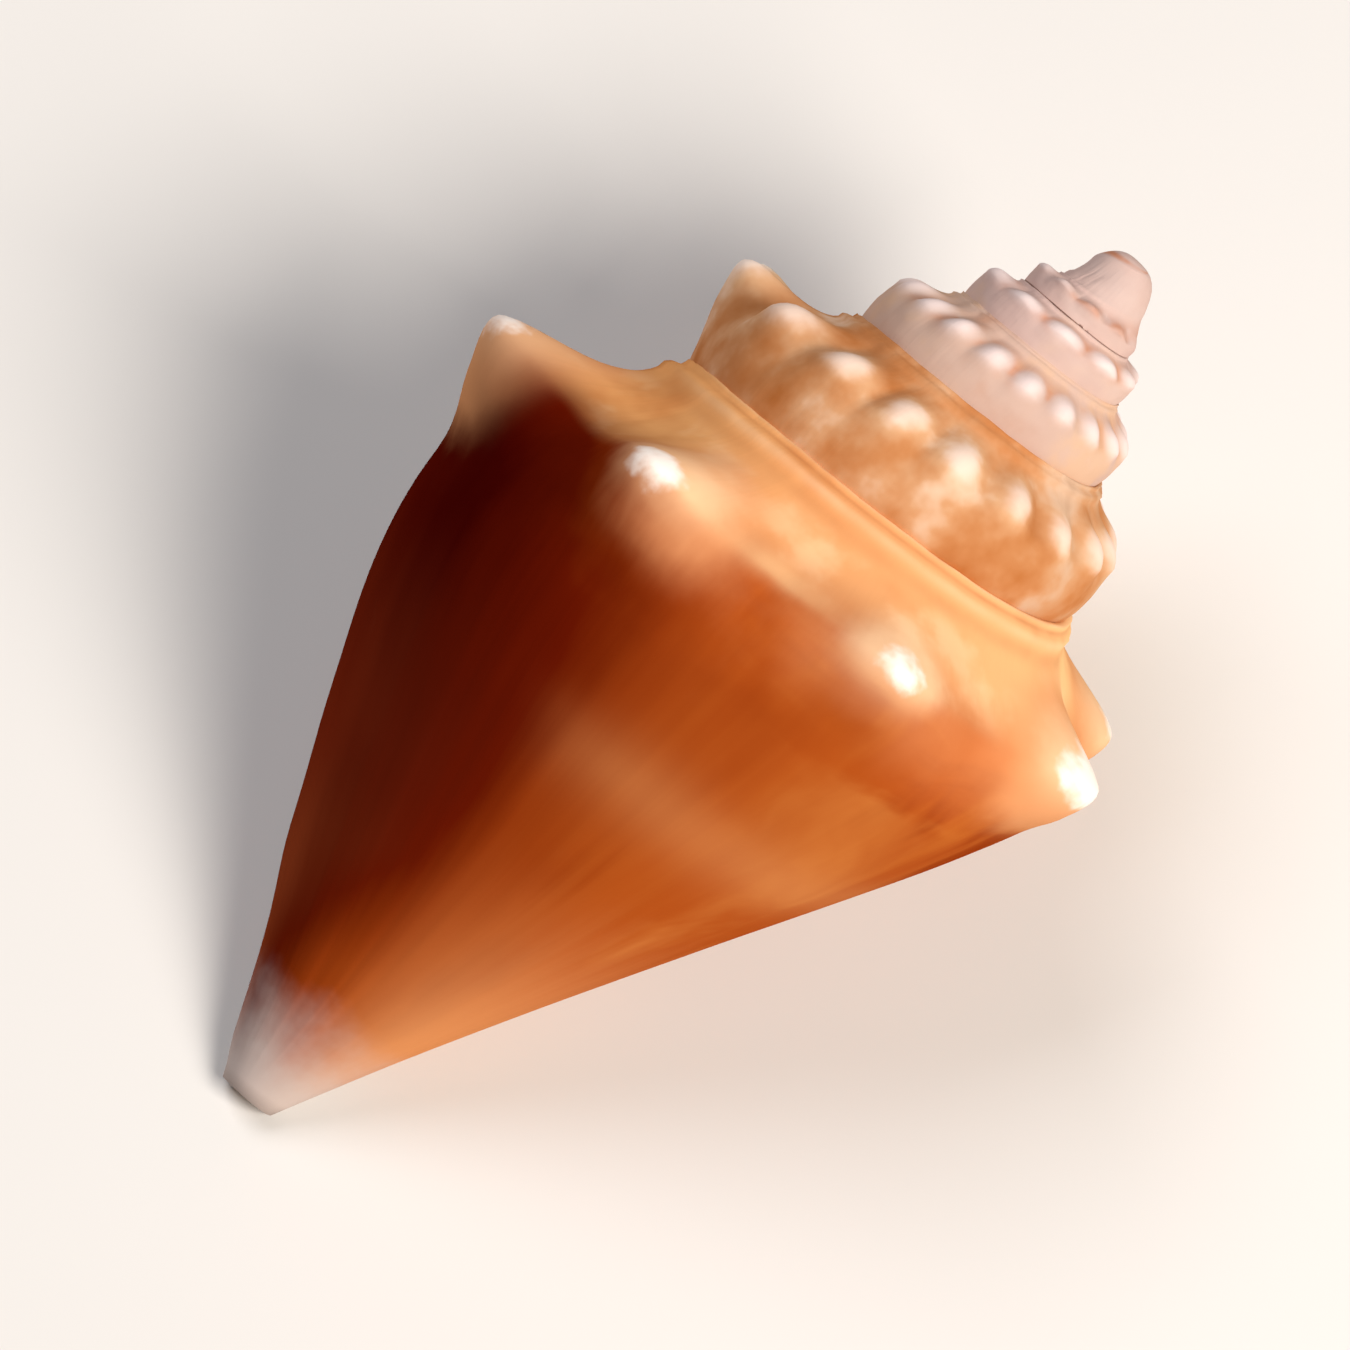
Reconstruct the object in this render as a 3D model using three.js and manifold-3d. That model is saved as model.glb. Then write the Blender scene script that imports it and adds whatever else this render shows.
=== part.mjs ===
// A fighting conch shell, a right-handed sea snail's shell that grew as one piece, lying on its opening.
//
// The shell is a tube coiled about an axis. Each place along the coil is given by its back angle, in
// degrees of coil counted back from the outer lip (0) to the apex (SPIRE_START). A cross-section through
// the axis is drawn as (r, h): r is the distance from the axis and h the distance below the start of
// growth, which the blunt apex stands a little above. One section runs across four curves: rim, ramp,
// shoulder to belly, and belly to canal end.

import * as THREE from "three";
import { mergeVertices } from "three/addons/utils/BufferGeometryUtils.js";
import Module from "manifold-3d";

// Driving dimensions, in millimetres and degrees
const LENGTH = 86; // from where the whorls start to grow to the end of the siphonal canal, along the axis
const GROWTH_ANGLE = 695; // degrees of coil over which the shell grows by a factor of e
const SPIRE_START = 2040; // back angle of the apex
const APEX_GIRTH = 0.05; // size that the first whorls' width starts from
const APEX_FADE = 380; // degrees of coil over which the first whorl rounds off to the apex
const APEX_LIFT = 0.9; // how far the blunt apex stands above the start of growth
const DOME = [1700, 1960]; // back angles over which the first whorls melt into the apex's dome
const DOME_STEEP = 0.1; // the dome falls by this times its radius to the DOME_POWER
const DOME_POWER = 3;
const LIP_HEADING = -125; // where the outer lip ends, as an angle about the axis from the shell's back
const MOUTH_DEPTH = 234; // degrees of coil that the hollow reaches in from the lip
const WALL = 2.1; // shell wall
const WALL_FOOT = 0.11; // share of the curve below the belly that the wall stands on

// The section of a whorl of unit size, in millimetres; the real one is this times the whorl's size
const RIM_TOP = { r: 18.7, h: 27.5 };
const RIM = { r: 20.2, h: 28.7 };
const SHOULDER = { r: 27.6, h: 36.5 };
const BELLY = { r: 29.7, h: 47.34 };
const RIM_LIFT = 0.15; // how far out of the suture the rim starts to rise
const RIM_HOLD = 0.5; // share of the last whorl's squeeze that the rim takes

// Arms of the section's curves: where each leaves its first point, and where it comes to its last
const RAMP_ARMS = [
  { r: 0.6, h: 2.3 },
  { r: -3.4, h: -2.6 },
];
const FLANK_ARM = { r: 2.0, h: 1.5 };
const BELLY_ARM = 0.42; // the flank's last arm, in shares of the arm below the belly, which it continues

// The last whorl grows less wide than the spire's rule would have it
const SQUEEZE = 0.14;
const SQUEEZE_FADE = 130; // degrees of coil

// The curve from the belly to the canal, fuller towards the lip
const SIDE_UPPER = { share: 0.64, fuller: 0.33, fade: 240, below: 11.5 };
const SIDE_LOWER = { r: 4.2, fuller: 7.1, fade: 250, above: 12, climb: 18 };

// The same curves inside the wall: shares of the wall, and the arms of the roof and the flank
const SHOULDER_INSET = { r: 0.7, h: 0.9 };
const LOWER_INSET = { r: 0.9, h: 0.6 };
const END_INSET = 0.55;
const END_CLEARANCE = 0.45; // the least share of the way from the pillar to the canal's wall
const ROOF_ARMS = [
  { r: 1.6, h: 0.4 },
  { r: -2.6, h: -2.0 },
];
const LINING_ARMS = [
  { r: 1.5, h: 1.2 },
  { r: 0.3, h: -3.6 },
];

// The siphonal canal: its end is a spiral that widens towards the lip, and it leans off the axis
const CANAL_CORE = 1.2;
const CANAL_OPENING = 2.9;
const CANAL_FADE = 90; // degrees of coil over which it narrows again
const CANAL_LEAN = { x: -2.3, y: -1.2 };
const CANAL_START = 56; // distance below the start of growth where the lean starts
const CANAL_BEND = 1.7; // 1 is a straight lean, and more bends later
const CANAL_BEVEL = 0.9; // how far short of the lip's end the rest of the canal's end stays

// Knobs on the shoulder, small and close on the spire, long and far apart on the last whorl
const SPINE_SPACING = 49; // degrees of coil between the long spines
const KNOB_SPACING = 20; // and between the knobs of the spire
const APEX_SPACING = 36; // and between the knobs near the apex
const CROWD_START = 242; // back angle where the spacing starts to shrink from the spines' to the knobs'
const CROWD_END = 470;
const APEX_KNOBS = 990; // back angle where the knobs near the apex start
const KNOB_PHASE = 0.06; // share of a spacing from the lip to the first knob
const KNOB_HEIGHT = 3.3;
const APEX_HEIGHT = 0.1; // added to the size that the knobs near the apex are scaled by
const APEX_RISE = [900, 1100]; // back angles over which it is added
const KNOB_FADE = [1560, 1760]; // back angles over which the knobs end at the apex
const SPINE_HEIGHT = 3.0; // added to the knobs of the last whorl
const SPINE_FADE = [365, 450]; // back angles over which the spines give way to knobs
const LOW_SPINE = { number: 3, less: 0.45 }; // the spine, counted from the lip, that is lower
const UNEVEN = { share: 0.1, turn: 2.4, start: 0.6 }; // how the knobs' heights differ, as a wave
const KNOB_WIDTH = { knob: 0.42, spine: 0.23 }; // in shares of the spacing
const KNOB_CREST = { knob: 1.78, spine: 2.02 }; // places across the section
const REACH_UP = { knob: 0.36, spine: 0.4 };
const REACH_DOWN = { knob: 0.46, spine: 0.56 };
const KNOB_TOP = [0, 0.5]; // places across the section over which the knobs start and end
const KNOB_BOTTOM = [2.5, 3];
const TIP_SHARE = 0.8; // width of a knob's tip, and of the cone that carries it
const CONE_SHARE = 1.4;
const CONE_PART = 0.55; // how much of the height is the cone's
const KNOB_OUT = 0.97; // a knob's way out from the axis
const KNOB_LEAN = 0.22; // and up towards the apex
const SPIRE_LEAN = 0.55;
const LEAN_CHANGE = [300, 365]; // back angles over which the lean changes
const LIP_SMOOTH = [4, 34]; // back angles over which the knobs start behind the lip

// The outer lip
const FLARE = 2.6; // how far the lip turns outwards
const FLARE_LIFT = 0.25; // share of that by which it also turns up
const FLARE_ANGLE = 48; // degrees of coil over which it does
const FLARE_TOP = [0.6, 2.2]; // places across the section over which the flare starts and ends
const FLARE_BOTTOM = [3.45, 3.95];
const LIP_ROUND = 1.1; // how far the rounded edge stands past the lip's end
const ROUND_TOP = [0, 0.8]; // places across the section over which the rounding starts and ends
const ROUND_BOTTOM = [3.7, 4];
const LIP_STEP = 2; // degrees of coil over which the lip's direction is taken
const SHEAR_ANGLE = 70; // degrees of coil behind the lip that follow its wavy edge
const NOTCH = { cut: 9, across: 3.66, width: 0.1 }; // the notch near the canal, cut in degrees
const CANAL_CUT = { cut: 26, across: 3.72 }; // the edge along the canal
const RAMP_CUT = { cut: 6, across: 1.2, width: 0.6 }; // the edge's bay above the shoulder
const WAVY_TOP = [0, 0.4]; // places across the section over which the wavy edge starts

// How the shell lies: turned about its axis, then tipped, then lowered a little so that the points it
// rests on are worn flat
const ROLL = 16;
const TIP = 21.5;
const WEAR = 0.8;

// Mesh fineness
const STEPS_PER_TURN = 72;
const ROWS = { rim: 1, ramp: 3, shoulder: 3, foot: 2, side: 7 };
const SAME_POINT = 1e-4;
const WELD = 1e-3;

const clamp01 = (x) => Math.min(1, Math.max(0, x));
const ease = (from, to, x) => {
  const k = clamp01((x - from) / (to - from));
  return k * k * (3 - 2 * k);
};
const hump = (x, centre, width) => Math.exp(-(((x - centre) / width) ** 2));
const mix = (a, b, k) => a + (b - a) * k;

// A cubic curve through the (r, h) plane
function bezier(p0, p1, p2, p3, k) {
  const m = 1 - k;
  const w = [m * m * m, 3 * m * m * k, 3 * m * k * k, k * k * k];
  return {
    r: w[0] * p0.r + w[1] * p1.r + w[2] * p2.r + w[3] * p3.r,
    h: w[0] * p0.h + w[1] * p1.h + w[2] * p2.h + w[3] * p3.h,
  };
}

// Size of the whorl at a back angle, which rounds off at the apex
function whorlSize(back) {
  const start = clamp01((SPIRE_START - back) / APEX_FADE);
  const size = Math.exp(-back / GROWTH_ANGLE);
  return { r: mix(APEX_GIRTH, 1, size) * Math.sqrt(start), h: size * start, top: APEX_LIFT * (start - 1) };
}

// hold is the share of the last whorl's squeeze that a point takes
function scaled(point, back, hold = 1) {
  const size = whorlSize(back);
  const squeeze = 1 - SQUEEZE * Math.exp(-back / SQUEEZE_FADE);
  return { r: point.r * size.r * squeeze ** hold, h: point.h * size.h + size.top };
}

// Knobs stand where this is a whole number
function knobPhase(back) {
  const last = Math.min(back, CROWD_START);
  const middle = Math.min(back, CROWD_END) - last;
  const spire = Math.min(back, APEX_KNOBS) - last - middle;
  const first = back - last - middle - spire;
  const crowding = (SPINE_SPACING - KNOB_SPACING) / (CROWD_END - CROWD_START);
  const crowded = -Math.log(1 - (crowding * middle) / SPINE_SPACING) / crowding;
  return last / SPINE_SPACING + crowded + spire / KNOB_SPACING + first / APEX_SPACING + KNOB_PHASE;
}

// How far a place is up its knob, from 0 to 1: a broad cone with a narrow tip
function knobShare(back, across) {
  const phase = knobPhase(back);
  const number = Math.round(phase);
  const spine = 1 - ease(...SPINE_FADE, back);
  const width = mix(KNOB_WIDTH.knob, KNOB_WIDTH.spine, spine);
  const crest = mix(KNOB_CREST.knob, KNOB_CREST.spine, spine);
  const side = across < crest ? REACH_UP : REACH_DOWN;
  const reach = mix(side.knob, side.spine, spine);
  const bump = (share) => hump(phase, number, share * width) * hump(across, crest, share * reach);
  const along = ease(...KNOB_TOP, across) * (1 - ease(...KNOB_BOTTOM, across));
  const within = ease(...LIP_SMOOTH, back) * along;
  return within * mix(bump(TIP_SHARE), bump(CONE_SHARE), CONE_PART);
}

// No two knobs are quite as high
function knobHeight(back) {
  const number = Math.round(knobPhase(back));
  const low = number === LOW_SPINE.number ? LOW_SPINE.less : 0;
  const uneven = 1 + UNEVEN.share * Math.sin(UNEVEN.turn * number + UNEVEN.start) - low;
  const spine = 1 - ease(...SPINE_FADE, back);
  const size = whorlSize(back).h + APEX_HEIGHT * ease(...APEX_RISE, back);
  return uneven * (KNOB_HEIGHT * size + SPINE_HEIGHT * spine) * (1 - ease(...KNOB_FADE, back));
}

const shoulderOf = (back) => scaled(SHOULDER, back);
const bellyOf = (back) => scaled(BELLY, back);

// End of the canal: a spiral about the canal's own centre line
function canalEnd(back) {
  const open = Math.exp(-back / CANAL_FADE);
  return { r: CANAL_CORE + CANAL_OPENING * open, h: LENGTH - CANAL_BEVEL * (1 - open) };
}

// Control points of the curve from the belly to the canal's end
function sideCurve(back) {
  const belly = bellyOf(back);
  const upper = {
    r: belly.r * (SIDE_UPPER.share + SIDE_UPPER.fuller * Math.exp(-back / SIDE_UPPER.fade)),
    h: belly.h + SIDE_UPPER.below,
  };
  const lower = {
    r: SIDE_LOWER.r + SIDE_LOWER.fuller * Math.exp(-back / SIDE_LOWER.fade),
    h: LENGTH - SIDE_LOWER.above - back / SIDE_LOWER.climb,
  };
  return [belly, upper, lower, canalEnd(back)];
}

// A curve between two points, with an arm at each; size scales the arms
function armed(start, end, arms, size, k) {
  const first = { r: start.r + arms[0].r * size.r, h: start.h + arms[0].h * size.h };
  const second = { r: end.r + arms[1].r * size.r, h: end.h + arms[1].h * size.h };
  return bezier(start, first, second, end, k);
}

const UNIT = { r: 1, h: 1 };

// A point of the outer surface. across runs 0 to 1 over the rim, to 2 over the ramp, to 3 over the
// shoulder down to the belly, and to 4 from the belly to the canal's end.
function outerSection(back, across) {
  const groove = bellyOf(back + 360);
  const rim = scaled(RIM, back, RIM_HOLD);
  const shoulder = shoulderOf(back);
  const size = whorlSize(back);
  if (across <= 1) {
    const top = scaled(RIM_TOP, back, RIM_HOLD);
    const lift = { r: groove.r + RIM_LIFT * size.r, h: top.h };
    return bezier(groove, lift, top, rim, across);
  }
  if (across <= 2) return armed(rim, shoulder, RAMP_ARMS, size, across - 1);
  const side = sideCurve(back);
  if (across > 3) return bezier(...side, across - 3);
  const [belly, upper] = side;
  const arm = BELLY_ARM * size.h;
  const bellyArm = { r: arm * (belly.r - upper.r), h: arm * (belly.h - upper.h) };
  const flankArm = { r: FLANK_ARM.r * size.r, h: FLANK_ARM.h * size.h };
  return armed(shoulder, belly, [flankArm, bellyArm], UNIT, across - 2);
}

// The first whorls melt into a blunt dome. A whorl's start lies on the end of the one before it, so the
// angle runs back a full turn towards the start.
function domed(back, across, point) {
  const along = back + 360 * (1 - Math.min(across, 3) / 3);
  const dome = DOME_STEEP * point.r ** DOME_POWER - APEX_LIFT;
  return { r: point.r, h: mix(point.h, dome, ease(...DOME, along)) };
}

// Knobs stand out and lean up
function knobbed(back, across, point) {
  const lift = knobShare(back, across) * knobHeight(back);
  const lean = mix(KNOB_LEAN, SPIRE_LEAN, ease(...LEAN_CHANGE, back));
  return { r: point.r + KNOB_OUT * lift, h: point.h - lean * lift };
}

// The lip turns outwards over its last stretch, between its two ends
function flared(back, across, point) {
  const turn = clamp01(1 - back / FLARE_ANGLE) ** 2;
  const along = ease(...FLARE_TOP, across) * (1 - ease(...FLARE_BOTTOM, across));
  const out = FLARE * turn * along;
  return { r: point.r + out, h: point.h - FLARE_LIFT * out };
}

// The lip's edge isn't straight: it cuts back at the notch near the canal and along the canal
function lipShear(back, across) {
  const near = clamp01(1 - back / SHEAR_ANGLE) ** 2;
  const notch = NOTCH.cut * hump(across, NOTCH.across, NOTCH.width);
  const canal = CANAL_CUT.cut * ease(CANAL_CUT.across, 4, across);
  const ramp = RAMP_CUT.cut * hump(across, RAMP_CUT.across, RAMP_CUT.width);
  return back + near * (notch + canal + ramp) * ease(...WAVY_TOP, across);
}

// From the section's plane into space, about the axis, which leans at the canal
function place(back, point) {
  const heading = THREE.MathUtils.degToRad(back + LIP_HEADING);
  const lean = clamp01((point.h - CANAL_START) / (LENGTH - CANAL_START)) ** CANAL_BEND;
  return new THREE.Vector3(
    point.r * Math.sin(heading) + CANAL_LEAN.x * lean,
    -point.r * Math.cos(heading) + CANAL_LEAN.y * lean,
    LENGTH - point.h,
  );
}

function outerPoint(back, across) {
  const turned = lipShear(back, across);
  const smooth = domed(turned, across, outerSection(turned, across));
  const point = knobbed(turned, across, smooth);
  return place(turned, flared(back, across, point));
}

// The inside of the wall, on curves set in from the outer ones; across runs over the same 0 to 4
function innerSection(back, across) {
  const [belly, upper, lower, end] = sideCurve(back);
  const foot = bezier(...sideCurve(back + 360), WALL_FOOT);
  const shoulder = shoulderOf(back);
  const shoulderIn = {
    r: shoulder.r - SHOULDER_INSET.r * WALL,
    h: shoulder.h + SHOULDER_INSET.h * WALL,
  };
  const bellyIn = { r: belly.r - WALL, h: belly.h };
  if (across <= 2) return armed(foot, shoulderIn, ROOF_ARMS, UNIT, across / 2);
  if (across <= 3) return armed(shoulderIn, bellyIn, LINING_ARMS, UNIT, across - 2);
  const upperIn = { r: upper.r - WALL, h: upper.h };
  const lowerIn = { r: lower.r - LOWER_INSET.r * WALL, h: lower.h - LOWER_INSET.h * WALL };
  const pillar = canalEnd(back + 360);
  const clear = mix(pillar.r, end.r, END_CLEARANCE);
  const endIn = { r: Math.max(end.r - END_INSET * WALL, clear), h: end.h };
  return bezier(bellyIn, upperIn, lowerIn, endIn, across - 3);
}

function innerPoint(back, across) {
  const turned = lipShear(back, across);
  return place(turned, flared(back, across, innerSection(turned, across)));
}

// Row positions across the section
function spread(from, to, count) {
  return Array.from({ length: count + 1 }, (_, i) => mix(from, to, i / count));
}
const rimToBelly = [
  ...spread(0, 1, ROWS.rim),
  ...spread(1, 2, ROWS.ramp).slice(1),
  ...spread(2, 3, ROWS.shoulder).slice(1),
];
const wallFoot = spread(3, 3 + WALL_FOOT, ROWS.foot);
const footToEnd = spread(3 + WALL_FOOT, 4, ROWS.side);
const bellyToEnd = [...wallFoot, ...footToEnd.slice(1)];
const rimToEnd = [...rimToBelly, ...bellyToEnd.slice(1)];
const turns = (from, to) => {
  const step = 360 / STEPS_PER_TURN;
  return Array.from({ length: Math.round((to - from) / step) + 1 }, (_, i) => from + i * step);
};

// Patches of surface. A patch is a grid of points; facing flips which side is out.
const corners = [];
function triangle(a, b, c) {
  const shortest = Math.min(a.distanceTo(b), b.distanceTo(c), a.distanceTo(c));
  if (shortest < SAME_POINT) return;
  corners.push(a, b, c);
}
function patch(columns, rows, pointAt, facing = 1) {
  const grid = columns.map((c) => rows.map((r) => pointAt(c, r)));
  for (let i = 0; i + 1 < columns.length; i++)
    for (let j = 0; j + 1 < rows.length; j++) {
      const [a, b] = [grid[i][j], grid[i + 1][j]];
      const [c, d] = [grid[i + 1][j + 1], grid[i][j + 1]];
      if (facing > 0) {
        triangle(a, c, b);
        triangle(a, d, c);
      } else {
        triangle(a, b, c);
        triangle(a, c, d);
      }
    }
}
function fan(ring, facing) {
  const centre = ring.reduce((sum, p) => sum.add(p), new THREE.Vector3()).divideScalar(ring.length);
  ring.forEach((p, i) => {
    const q = ring[(i + 1) % ring.length];
    if (facing > 0) triangle(centre, p, q);
    else triangle(centre, q, p);
  });
}

// Outside: the whole coil down to the belly, then the last whorl down to the canal's end
patch(turns(0, SPIRE_START), rimToBelly, outerPoint);
patch(turns(0, 360), bellyToEnd, outerPoint);

// Hollow: the inside of the outer wall, and the whorl before it, which is the hollow's inner side
const mouthDepth = Math.round((MOUTH_DEPTH * STEPS_PER_TURN) / 360) * (360 / STEPS_PER_TURN);
patch(turns(0, mouthDepth), rimToEnd, innerPoint, -1);
patch(turns(360, 360 + mouthDepth), footToEnd, outerPoint);
fan(
  [
    ...rimToEnd.map((across) => innerPoint(mouthDepth, across)),
    ...footToEnd.slice(1).reverse().map((across) => outerPoint(360 + mouthDepth, across)),
  ],
  -1,
);

// Lip: a rounded edge from the outside to the inside
function lipEdge(share, across) {
  const outer = outerPoint(0, across);
  const inner = innerPoint(0, across);
  const ahead = outerPoint(0, across).sub(outerPoint(LIP_STEP, across)).normalize();
  const along = ease(...ROUND_TOP, across) * (1 - ease(...ROUND_BOTTOM, across));
  const round = LIP_ROUND * Math.sin(Math.PI * share) * along;
  return outer.lerp(inner, share).addScaledVector(ahead, round);
}
function lipPoint(share, across) {
  if (across === 0) return outerPoint(360, 3 + WALL_FOOT * share);
  return lipEdge(share, across);
}
patch(spread(0, 1, ROWS.foot), rimToEnd, lipPoint, -1);

// Canal end: the wall's end face, and the face across the pillar
const wallEnd = (back, share) => outerPoint(back, 4).lerp(innerPoint(back, 4), share);
const acrossWall = spread(0, 1, ROWS.foot);
patch(turns(0, mouthDepth), acrossWall, wallEnd);
fan(
  [
    ...turns(mouthDepth, 360 + mouthDepth).map((back) => outerPoint(back, 4)),
    ...acrossWall.slice(1).reverse().map((share) => wallEnd(mouthDepth, share)),
  ],
  -1,
);

const grown = mergeVertices(new THREE.BufferGeometry().setFromPoints(corners), WELD);

// How it lies: the axis along X with the apex to +X, on the lip, the canal's end and the far side
const lie = new THREE.Matrix4()
  .makeRotationZ(-Math.PI / 2)
  .multiply(new THREE.Matrix4().makeRotationX(THREE.MathUtils.degToRad(TIP - 90)))
  .multiply(new THREE.Matrix4().makeRotationZ(THREE.MathUtils.degToRad(ROLL)));
grown.applyMatrix4(lie);
grown.computeBoundingBox();
grown.translate(0, 0, -grown.boundingBox.min.z - WEAR);

// Wear: what would stand below the ground is cut off
const wasm = await Module();
wasm.setup();
function solid(source) {
  return new wasm.Manifold(
    new wasm.Mesh({
      numProp: 3,
      vertProperties: source.attributes.position.array,
      triVerts: new Uint32Array(source.index.array),
    }),
  );
}
const ground = new THREE.BoxGeometry(4 * LENGTH, 4 * LENGTH, LENGTH).translate(0, 0, -LENGTH / 2);
ground.deleteAttribute("normal");
ground.deleteAttribute("uv");
const worn = solid(grown).subtract(solid(mergeVertices(ground))).getMesh();

const geometry = new THREE.BufferGeometry();
geometry.setAttribute("position", new THREE.BufferAttribute(new Float32Array(worn.vertProperties), 3));
geometry.setIndex(new THREE.BufferAttribute(new Uint32Array(worn.triVerts), 1));
geometry.computeBoundingBox();
const middle = geometry.boundingBox.getCenter(new THREE.Vector3());
geometry.translate(-middle.x, -middle.y, 0);
geometry.computeVertexNormals();

const shell = new THREE.Mesh(
  geometry,
  new THREE.MeshStandardMaterial({ color: 0xc8692a, roughness: 0.35, metalness: 0 }),
);
shell.name = "shell";

const part = new THREE.Group();
part.add(shell);
export default part;
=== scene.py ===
"""A fighting conch shell, lying mouth down.

The shell is grown by Geometry Nodes from one rule: a tube coiled about an axis. A place along the coil
has a back angle, in degrees of coil counted back from the outer lip (0) to the apex. A place across the
tube has a number: 0 to 1 over the rim, to 2 over the ramp, to 3 from the shoulder to the belly, and to 4
down to the canal's end. A section through the axis is drawn as (r, h): r is the distance from the axis
and h the distance below the start of growth, which the blunt apex stands a little above. The rule works
in millimetres, and the shell is laid down at the end. A pair of numbers that is named for a change is the
span over which it comes in.
"""

import math

import bpy
from mathutils import Matrix, Vector


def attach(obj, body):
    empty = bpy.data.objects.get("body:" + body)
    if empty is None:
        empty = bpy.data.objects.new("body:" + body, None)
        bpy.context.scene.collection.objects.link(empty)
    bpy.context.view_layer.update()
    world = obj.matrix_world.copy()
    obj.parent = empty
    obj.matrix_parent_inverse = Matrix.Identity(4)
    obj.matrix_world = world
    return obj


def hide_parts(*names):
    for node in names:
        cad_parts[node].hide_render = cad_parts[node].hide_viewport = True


# Sizes that the node trees take as inputs, in millimetres and degrees of coil
SIZES = {
    "Length": 86.0,
    "Growth angle": 695.0,
    "Spire start": 2040.0,
    "Apex girth": 0.05,
    "Lip heading": -125.0,
    "Wall": 2.1,
    "Knob height": 3.3,
    "Spine height": 3.0,
    "Lip flare": 2.6,
    "Lip round": 1.1,
    "Notch": 9.0,
    "Relief": 1.0,
}
FULL_TURN = 360.0
MOUTH_DEPTH = 234.0  # degrees of coil that the hollow reaches in from the lip
WALL_FOOT = 0.11  # share of the curve below the belly that the wall stands on

# The first whorls melt into a blunt dome, which falls by DOME_STEEP times its radius to the DOME_POWER
APEX_FADE = 380.0
APEX_LIFT = 0.9
DOME_STEEP = 0.1
DOME_POWER = 3.0
DOME = (1700.0, 1960.0)

# The section of a whorl of unit size, as (r, h)
RIM_TOP = (18.7, 27.5)
RIM = (20.2, 28.7)
SHOULDER = (27.6, 36.5)
BELLY = (29.7, 47.34)
RIM_LIFT = 0.15  # how far out of the suture the rim starts to rise
RIM_HOLD = 0.5  # share of the last whorl's squeeze that the rim takes

# Arms of the section's curves, as (r, h): where each leaves its first point, and where it comes to its last
RAMP_ARMS = ((0.6, 2.3), (-3.4, -2.6))
FLANK_ARM = (2.0, 1.5)
BELLY_ARM = 0.42  # the flank's last arm, in shares of the arm below the belly, which it continues

# The last whorl grows less wide than the spire's rule would have it
SQUEEZE = 0.14
SQUEEZE_FADE = 130.0

# The curve from the belly to the canal, fuller towards the lip
SIDE_UPPER = {"share": 0.64, "fuller": 0.33, "fade": 240.0, "below": 11.5}
SIDE_LOWER = {"r": 4.2, "fuller": 7.1, "fade": 250.0, "above": 12.0, "climb": 18.0}

# The same curves inside the wall: shares of the wall and arms, as (r, h)
SHOULDER_INSET = (-0.7, 0.9)
LOWER_INSET = (-0.9, -0.6)
END_INSET = 0.55
END_CLEARANCE = 0.45  # the least share of the way from the pillar to the canal's wall
ROOF_ARMS = ((1.6, 0.4), (-2.6, -2.0))
LINING_ARMS = ((1.5, 1.2), (0.3, -3.6))

# The canal's end, a spiral that leans off the axis
CANAL_CORE = 1.2
CANAL_OPENING = 2.9
CANAL_FADE = 90.0
CANAL_BEVEL = 0.9
CANAL_START = 56.0
CANAL_BEND = 1.7
CANAL_LEAN = (-2.3, -1.2)
END_ROUND = 0.6
END_ROUNDING = (3.93, 4.0)

# Knobs on the shoulder, spaced in degrees of coil
SPINE_SPACING = 49.0
KNOB_SPACING = 20.0
APEX_SPACING = 36.0
CROWD_START = 242.0
CROWD_END = 470.0
APEX_KNOBS = 990.0
KNOB_PHASE = 0.06
SPINE_FADE = (365.0, 450.0)
KNOB_FADE = (1560.0, 1760.0)
LIP_SMOOTH = (4.0, 34.0)
KNOB_TOP = (0.0, 0.5)
KNOB_BOTTOM = (2.5, 3.0)

# The shape of a knob, where pairs are for the spire's knobs and the last whorl's spines
KNOB_WIDTH = (0.42, 0.23)
KNOB_CREST = (1.78, 2.02)
REACH_UP = (0.36, 0.4)
REACH_DOWN = (0.46, 0.56)
TIP_SHARE = 0.8
CONE_SHARE = 1.4
CONE_PART = 0.55
KNOB_OUT = 0.97
SPINE_LEAN = 0.22
SPIRE_LEAN = 0.55
LEAN_CHANGE = (300.0, 365.0)
UNEVEN = {"share": 0.1, "turn": 2.4, "start": 0.6}
LOW_SPINE = {"number": 3.0, "less": 0.45, "width": 0.4}
APEX_HEIGHT = 0.1
APEX_RISE = (900.0, 1100.0)

# Fine relief, in millimetres, as noise over the coil and two cords as (height, place, width)
RIDGE_HEIGHT = 0.13
RIDGES = {"along": 0.42, "over": 0.7, "layer": 0.0, "detail": 3.0}
SWELLING_HEIGHT = 0.9
SWELLINGS = {"along": 0.035, "over": 1.1, "layer": 4.0}
BEAD_LEVEL = 0.75
BEAD_DEPTH = 1.2
BEADS = {"along": 0.11, "over": 0.0, "layer": 9.0}
UPPER_CORD = (0.5, 0.66, 0.12)
LOWER_CORD = (0.42, 1.06, 0.07)
RELIEF_TOP = (0.0, 0.35)
RELIEF_BOTTOM = (3.75, 4.0)
RELIEF_BELLY = (2.75, 3.0)
COVERED_BELLY = (290.0, 350.0)  # back angles over which the next whorl comes to cover the belly
RELIEF_APEX = (1450.0, 1750.0)
RELIEF_LEAST = 0.25
RELIEF_UP = 0.5
RELIEF_OUTWARD = (1.6, 2.4)

# The outer lip: how it turns out, and where its edge is cut back, as (place, width) or a span
FLARE_ANGLE = 48.0
FLARE_LIFT = 0.25
FLARE_TOP = (0.6, 2.2)
FLARE_BOTTOM = (3.45, 3.95)
ROUND_TOP = (0.0, 0.8)
ROUND_BOTTOM = (3.7, 4.0)
LIP_STEP = 2.0
SHEAR_ANGLE = 70.0
NOTCH_PLACE = (3.66, 0.1)
CANAL_CUT = 26.0
CANAL_EDGE = (3.72, 4.0)
RAMP_CUT = 6.0
RAMP_PLACE = (1.2, 0.6)
WAVY_TOP = (0.0, 0.4)

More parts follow.
